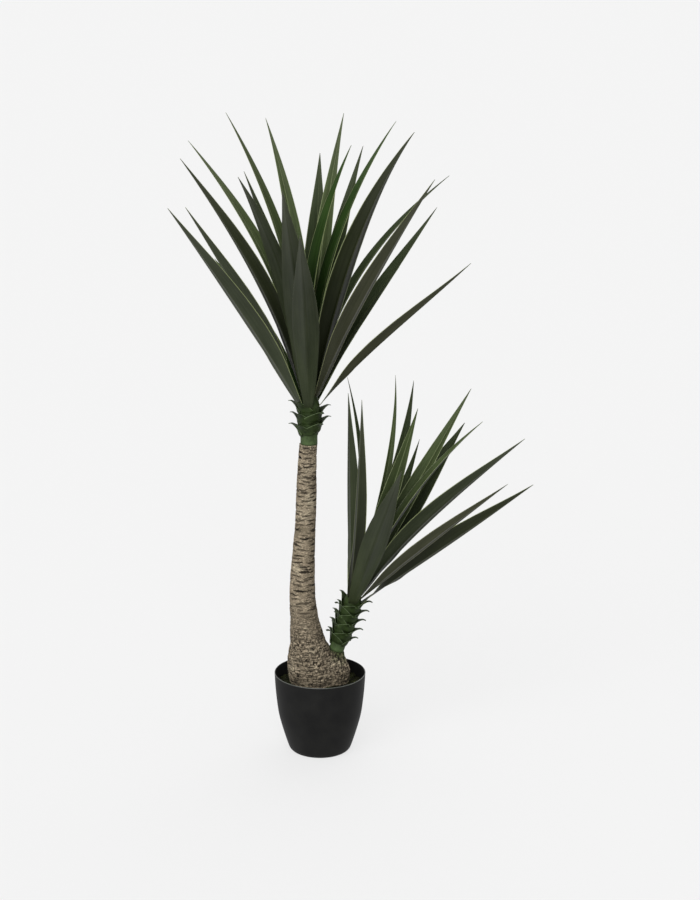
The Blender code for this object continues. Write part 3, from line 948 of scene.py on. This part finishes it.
scale = bpy.data.objects.new("clasping scale", scale_mesh())
scene.collection.objects.link(scale)
for name, neck, head, seed in (
    ("main_neck", MAIN_NECK, MAIN_HEAD, 3),
    ("side_neck", SIDE_NECK, SIDE_HEAD, 11),
):
    profile = [(0.0, 0.0)]
    for step in range(CORE_RINGS + 1):
        height = neck.height * step / CORE_RINGS
        flare = min(max((height - neck.flare_start) / (neck.flare_end - neck.flare_start), 0), 1)
        profile.append((neck.low_radius + (neck.high_radius - neck.low_radius) * flare, height))
    core_top = neck.height + head.core_height
    core_tip = head.core_radius - head.core_taper * head.core_height
    core = turned_mesh(name, [*profile, (core_tip, core_top), (0.0, core_top)], CORE_SIDES)
    greens = [SCALE_GREEN * smooth_step(neck.first, neck.first + GREEN_FADE, corner.co.z / MM)
              for corner in core.vertices]
    core.attributes.new("green", "FLOAT", "POINT").data.foreach_set("value", greens)
    neck_mesh = grown(name, core, scale_tree, {
        "Scales": neck.scales,
        "First height": neck.first * MM,
        "Last height": neck.last * MM,
        "First angle": neck.first_angle,
        "Turn": neck.turn,
        "Low radius": (neck.low_radius - SCALE_SUNK) * MM,
        "High radius": (neck.high_radius - SCALE_SUNK) * MM,
        "Flare start": neck.flare_start * MM,
        "Flare end": neck.flare_end * MM,
        "Smallest": 0.9,
        "Largest": 1.12,
        "Least nod": -0.14,
        "Most nod": 0.12,
        "Scale": scale,
        "Seed": seed,
        "Finish": green_polyethylene,
    })
    slant = head.axis.to_track_quat("Z", "Y").to_matrix().to_4x4()
    slant.translation = (head.foot - head.axis * neck.height) * MM
    neck_mesh.transform(slant)
    dress(name + "_scales", neck_mesh, [name], "green_neck")
bpy.data.objects.remove(scale)

# The leaves
# Each is a long blade, cut from coated polyester and pressed with a fold along its middle and
# fine veins, over a hidden wire. Its root is pushed into the core of its head. It starts steep
# and arches out to its tip.

# How far the tip is to the right of the head's foot, behind it and above it, how far up the core
# the root is, the width, the roll in degrees, how far the blade bows aside, by what share of its
# slant it starts more upright, and by what share it ends more level.
Leaf = namedtuple("Leaf", "right back up seat width roll bow upright droop")

MAIN_LEAVES = (
    Leaf(-290, -260, 480, 2, 66, 8, 0, 0.10, 0.06),
    Leaf(-270, -20, 450, 16, 63, 34, 0, 0.08, 0.06),
    Leaf(-270, -150, 570, 37, 62, 14, 0, 0.44, 0.28),
    Leaf(-275, 180, 575, 38, 41, -8, 0, 0.88, 0.52),
    Leaf(-181, 20, 652, 56, 43, -24, 0, 0.97, 0.80),
    Leaf(-140, -350, 555, 24, 45, 22, 0, 0.66, 0.47),
    Leaf(-137, -120, 540, 47, 57, 0, -6, 0.45, 0.40),
    Leaf(-101, 270, 618, 82, 38, 0, -12, 0.44, 0.42),
    Leaf(25, 340, 530, 26, 62, 0, -3, 0.20, 0.20),
    Leaf(80, 260, 630, 58, 43, 12, 12, 0.15, 0.15),
    Leaf(94, 40, 579, 94, 63, 0, 24, 0.95, 0.80),
    Leaf(125, 260, 555, 38, 48, 0, 8, 0.12, 0.15),
    Leaf(195, 110, 625, 66, 46, 0, 12, 0.85, 0.75),
    Leaf(222, -180, 628, 36, 70, -10, 0, 0.37, 0.63),
    Leaf(265, -200, 532, 24, 63, -8, 0, 0.20, 0.12),
    Leaf(315, 100, 505, 28, 48, 0, 0, 0.79, 0.60),
    Leaf(297, 240, 415, 20, 52, 0, 0, 0.12, 0.03),
    Leaf(355, -60, 333, 2, 51, -26, 0, 0.13, 0.00),
    Leaf(-15, -440, 450, 0, 62, 0, 0, 0.34, 0.16),
    Leaf(-50, -410, 535, 14, 70, 0, 0, 0.25, 0.15),
    Leaf(-40, 430, 280, 0, 48, 0, 0, 0.34, 0.16),
    Leaf(70, 420, 340, 12, 50, 0, 0, 0.25, 0.16),
    Leaf(215, 335, 260, 2, 44, 0, 0, 0.25, 0.12),
    Leaf(-113, 330, 359, 17, 36, 0, 0, 0.34, 0.16),
    Leaf(-225, 300, 285, 2, 46, 0, 0, 0.15, 0.10),
)
SIDE_LEAVES = (
    Leaf(-13, 100, 508, 14, 30, 0, 0, 0.80, 0.70),
    Leaf(-14, -100, 517, 24, 48, 15, 0, 0.10, 0.05),
    Leaf(13, -240, 535, 10, 50, -22, 3, 0.10, 0.05),
    Leaf(100, 160, 500, 43, 20, 0, -6, 0.85, 1.20),
    Leaf(146, 220, 473, 24, 38, 4, -22, 0.30, 0.20),
    Leaf(147, 32, 451, 60, 43, 0, -5, 0.60, 0.10),
    Leaf(167, 320, 304, 9, 34, 0, -12, -0.10, -0.10),
    Leaf(277, 150, 470, 34, 46, 0, 0, 0.05, 0.05),
    Leaf(267, 200, 375, 17, 72, 0, 0, 0.05, 0.05),
    Leaf(290, -30, 435, 42, 54, 10, 0, 0.60, 0.75),
    Leaf(378, -100, 413, 22, 59, -34, 0, 0.43, 0.18),
    Leaf(338, -150, 323, 13, 40, -30, 0, 0.10, 0.05),
    Leaf(411, 0, 279, 0, 71, -50, 0, 0.02, -0.03),
    Leaf(95, -340, 405, 0, 60, -4, 0, 0.12, 0.04),
    Leaf(10, 280, 255, 0, 46, 0, 0, 0.25, 0.10),
    Leaf(2, 120, 159, 6, 36, 0, 0, 0.20, 0.10),
)

# The share of the width that the blade has at a share of its length.
BLADE_OUTLINE = (
    (0.0, 0.30),
    (0.05, 0.44),
    (0.10, 0.57),
    (0.18, 0.74),
    (0.28, 0.91),
    (0.34, 0.97),
    (0.40, 1.0),
    (0.48, 0.96),
    (0.55, 0.90),
    (0.62, 0.79),
    (0.70, 0.65),
    (0.77, 0.50),
    (0.84, 0.35),
    (0.90, 0.22),
    (0.94, 0.14),
    (1.0, 0.02),
)
ROOT_THICKNESS = 5.2
ROOT_LENGTH = 9.0
ROOT_SLANT = 0.7
ROOT_GAP = 0.36
BLADE_THICKNESS = 1.7
BLADE_THIN_EDGE = 0.55
BLADE_THIN_TIP = 0.5
BLADE_FOLD = radians(20)
FOLD_RISE = 1.2
ROLLED_FROM = 0.2
FOLDED_FROM = 0.25
BLADE_STATIONS = 46
STATION_SPREAD = 0.9
BLADE_POINTS = 6
HANDLE = 0.34


def curve_point(controls, t):
    """Place and direction on the curve of four control points."""
    a, b, c, d = controls
    place = a * (1 - t) ** 3 + b * 3 * (1 - t) ** 2 * t + c * 3 * (1 - t) * t ** 2 + d * t ** 3
    ahead = (b - a) * (1 - t) ** 2 + (c - b) * 2 * (1 - t) * t + (d - c) * t ** 2
    return place, ahead.normalized()


def share_at(table, along):
    """The value of a table of (along, value) pairs, straight between its points."""
    for (start, low), (end, high) in zip(table, table[1:]):
        if along <= end:
            return low + (high - low) * (along - start) / (end - start)
    return table[-1][1]


def blade_mesh(name, head, leaf):
    """One folded blade on its arch, as thin as the real one."""
    tip = head.foot + Vector((leaf.right, leaf.back, leaf.up))
    seat = head.foot + head.axis * leaf.seat
    outward = tip - seat
    outward = (outward - head.axis * outward.dot(head.axis)).normalized()
    side = head.axis.cross(outward)
    core = head.core_radius - head.core_taper * leaf.seat
    lean = (tip - seat - outward * core).angle(head.axis)
    half_root = ROOT_THICKNESS / 2 * cos(lean * (1 - leaf.upright))
    root = seat + outward * (core + ROOT_GAP + half_root)
    reach = tip - root
    lean = reach.angle(head.axis)

    def direction(angle):
        """A direction at an angle from the head's axis, towards the tip's side."""
        return head.axis * cos(angle) + outward * sin(angle)

    handle = reach.length * HANDLE
    bow = side * leaf.bow
    controls = (
        root,
        root + direction(lean * (1 - leaf.upright)) * handle + bow,
        tip - direction(lean * (1 + leaf.droop)) * handle + bow,
        tip,
    )
    roll = radians(leaf.roll)
    sections = []
    for r in range(-1, BLADE_STATIONS):
        t = (max(r, 0) / (BLADE_STATIONS - 1)) ** STATION_SPREAD
        middle, ahead = curve_point(controls, t)
        if r < 0:
            middle -= ahead * ROOT_LENGTH + outward * ROOT_LENGTH * ROOT_SLANT
        across = (side - ahead * side.dot(ahead)).normalized()
        inward = ahead.cross(across)
        turned_by = roll * min(t / ROLLED_FROM, 1)
        wide = across * cos(turned_by) + inward * sin(turned_by)
        inner = inward * cos(turned_by) - across * sin(turned_by)
        bend = BLADE_FOLD * min(t / FOLDED_FROM, 1)
        half = leaf.width / 2 * share_at(BLADE_OUTLINE, t)
        pairs = []
        for k in range(-BLADE_POINTS, BLADE_POINTS + 1):
            a = k / BLADE_POINTS
            thick = BLADE_THICKNESS / 2 * (1 - BLADE_THIN_EDGE * abs(a)) * (1 - BLADE_THIN_TIP * t)
            rise = FOLD_RISE * half * sin(bend) * sin(pi / 2 * abs(a))
            spot = middle + wide * half * a * cos(bend) + inner * rise
            pairs.append((spot + inner * thick, spot - inner * thick))
        sections.append((reach.length * t * MM, pairs))
    return sheet_mesh(name, sections, 0, 1)


# Across the blade in shares of its width, from its middle, and along it in millimetres.
VEINS_ACROSS = 24.0
VEIN_LENGTH = 200.0
CLOUDS_ACROSS = 2.0
CLOUD_LENGTH = 111.1
RIB_EDGE = (0.014, 0.028)
MARGIN_EDGE = (0.462, 0.480)
# The painted shade and light at the foot of a blade give way between these lengths.
ROOT_SHADE_AND_LIGHT = (80.0, 400.0)
# The blade turns paler and greyer towards its tip between these lengths.
TIP_PALING = (380.0, 640.0)
TIP_PALED = 0.28
TIP_GREY_GREEN = "#6f7362"


def leaf_material(name, dark, middle, light, rib, margin, gloss, root):
    """Coated polyester, satin, with pressed veins, drawn every 2 mm so that they show.

    At the foot of the blade shade is painted, darker, where root is under 1, and light, paler,
    where it is over 1. Towards the tip it turns a little paler and greyer.
    """
    material, tree = new_material(name)
    uv = add(tree, "ShaderNodeUVMap", uv_map="UVMap").outputs["UV"]
    along = add(tree, "ShaderNodeMapping",
                {"Vector": uv, "Scale": (VEINS_ACROSS, to_a_metre(VEIN_LENGTH), 1.0)})
    veins = add(tree, "ShaderNodeTexNoise",
                {"Vector": along.outputs["Vector"], "Scale": 1.0, "Detail": 3.0})
    cloudy = add(tree, "ShaderNodeMapping",
                 {"Vector": uv, "Scale": (CLOUDS_ACROSS, to_a_metre(CLOUD_LENGTH), 1.0)})
    clouds = add(tree, "ShaderNodeTexNoise",
                 {"Vector": cloudy.outputs["Vector"], "Scale": 1.0, "Detail": 2.0})
    both = add(tree, "ShaderNodeMath", {0: veins.outputs["Fac"], 1: clouds.outputs["Fac"]},
               operation="ADD")
    half = add(tree, "ShaderNodeMath", {0: both.outputs["Value"], 1: 0.5}, operation="MULTIPLY")
    ground = add(tree, "ShaderNodeValToRGB", {"Fac": half.outputs["Value"]},
                 stops=((0.38, dark), (0.5, middle), (0.62, light)))
    on_blade = add(tree, "ShaderNodeSeparateXYZ", {"Vector": uv}).outputs
    # Painted shade at the blade's foot where root is under 1, painted light where it is over 1.
    strength = add(tree, "ShaderNodeMapRange", {
        "Value": on_blade["Y"],
        "From Min": ROOT_SHADE_AND_LIGHT[0] * MM,
        "From Max": ROOT_SHADE_AND_LIGHT[1] * MM,
        "To Min": root,
        "To Max": 1.0,
    }, interpolation_type="SMOOTHSTEP")
    root_shade_and_light = add(tree, "ShaderNodeMix", {
        0: 1.0,
        6: ground.outputs["Color"],
        7: strength.outputs["Result"],
    }, data_type="RGBA", blend_type="MULTIPLY")
    toward_tip = add(tree, "ShaderNodeMapRange", {
        "Value": on_blade["Y"],
        "From Min": TIP_PALING[0] * MM,
        "From Max": TIP_PALING[1] * MM,
        "To Max": TIP_PALED,
    })
    paled = add(tree, "ShaderNodeMix", {
        0: toward_tip.outputs["Result"],
        6: root_shade_and_light.outputs[2],
        7: tone(TIP_GREY_GREEN),
    }, data_type="RGBA")
    offset = add(tree, "ShaderNodeMath", {0: on_blade["X"], 1: 0.5}, operation="SUBTRACT")
    from_rib = add(tree, "ShaderNodeMath", {0: offset.outputs["Value"]}, operation="ABSOLUTE")
    lines = add(tree, "ShaderNodeValToRGB", {"Fac": from_rib.outputs["Value"]}, stops=(
        (0.0, rib), (RIB_EDGE[0], rib), (RIB_EDGE[1], 0.0), (MARGIN_EDGE[0], 0.0),
        (MARGIN_EDGE[1], 1.0),
    ))
    edged = add(tree, "ShaderNodeMix", {
        0: lines.outputs["Color"],
        6: paled.outputs[2],
        7: tone(margin),
    }, data_type="RGBA")
    bump = add(tree, "ShaderNodeBump",
               {"Height": veins.outputs["Fac"], "Strength": 0.35, "Distance": 0.0008})
    finish_material(tree, {
        "Base Color": edged.outputs[2],
        "Roughness": 0.42,
        "Specular IOR Level": gloss,
        "Normal": bump.outputs["Normal"],
    })
    return material


# Each finish's last number paints shade at the blade's foot under 1, and light over 1.
pale_face = leaf_material(
    "leaf face, pale green", "#373f27", "#414c2e", "#495635", 0.5, "#8b946e", 0.05, 0.5)
fresh_face = leaf_material(
    "leaf face, fresh green", "#213313", "#293e19", "#324920", 0.4, "#8a9466", 0.05, 0.45)
# A darker face for leaves deep in shade: painted shade.
shaded_face = leaf_material(
    "leaf face, dark olive, painted shade", "#252e1a", "#2c3520", "#343d27", 0.3, "#676e4b", 0.05, 0.65)
green_back = leaf_material(
    "leaf back, grey green", "#2b3121", "#313726", "#383e2d", 0.25, "#7d845e", 0.2, 1.25)
brown_back = leaf_material(
    "leaf back, dull olive", "#333523", "#3a3c2a", "#414331", 0.25, "#828262", 0.2, 0.9)
# A darker back for leaves deep in shade: painted shade.
shaded_back = leaf_material(
    "leaf back, dark, painted shade", "#242917", "#292e1b", "#2f3421", 0.25, "#7d845e", 0.15, 0.55)
plain_back = leaf_material(
    "leaf back, plain", "#262c1a", "#2c331f", "#333925", 0.0, "#313723", 0.2, 1.3)

# The numbers of the leaves that have each finish. The shaded finishes are darker copies, painted
# shade on leaves that lie deep in shade. The other leaves have the fresh green face and the grey
# green back.
MAIN_FACES = (
    (pale_face, (4, 5, 8, 10, 14)),
    (shaded_face, (3, 9, 12, 16, 17, 24)),
)
MAIN_BACKS = (
    (plain_back, (6, 7, 19, 20)),
    (shaded_back, (3, 14)),
    (brown_back, (9, 12, 15, 18, 21, 24)),
)
SIDE_FACES = (
    (pale_face, (4, 6, 8, 10, 15)),
    (shaded_face, (1, 5, 7, 9, 12)),
)
SIDE_BACKS = (
    (plain_back, (1, 2, 14)),
    (shaded_back, (3, 10, 13)),
    (brown_back, (6, 9, 12, 15)),
)


def finish_of(number, finishes, usual):
    """The finish that has a leaf's number, or else the usual one."""
    return next((finish for finish, numbers in finishes if number in numbers), usual)


for prefix, head, leaves, faces, backs in (
    ("main_leaf", MAIN_HEAD, MAIN_LEAVES, MAIN_FACES, MAIN_BACKS),
    ("side_leaf", SIDE_HEAD, SIDE_LEAVES, SIDE_FACES, SIDE_BACKS),
):
    for number, leaf in enumerate(leaves, 1):
        node = f"{prefix}_{number:02d}"
        mesh = blade_mesh(node + "_blade", head, leaf)
        dress(node + "_blade", mesh, [node], "leaf",
              finish_of(number, faces, fresh_face), finish_of(number, backs, green_back))
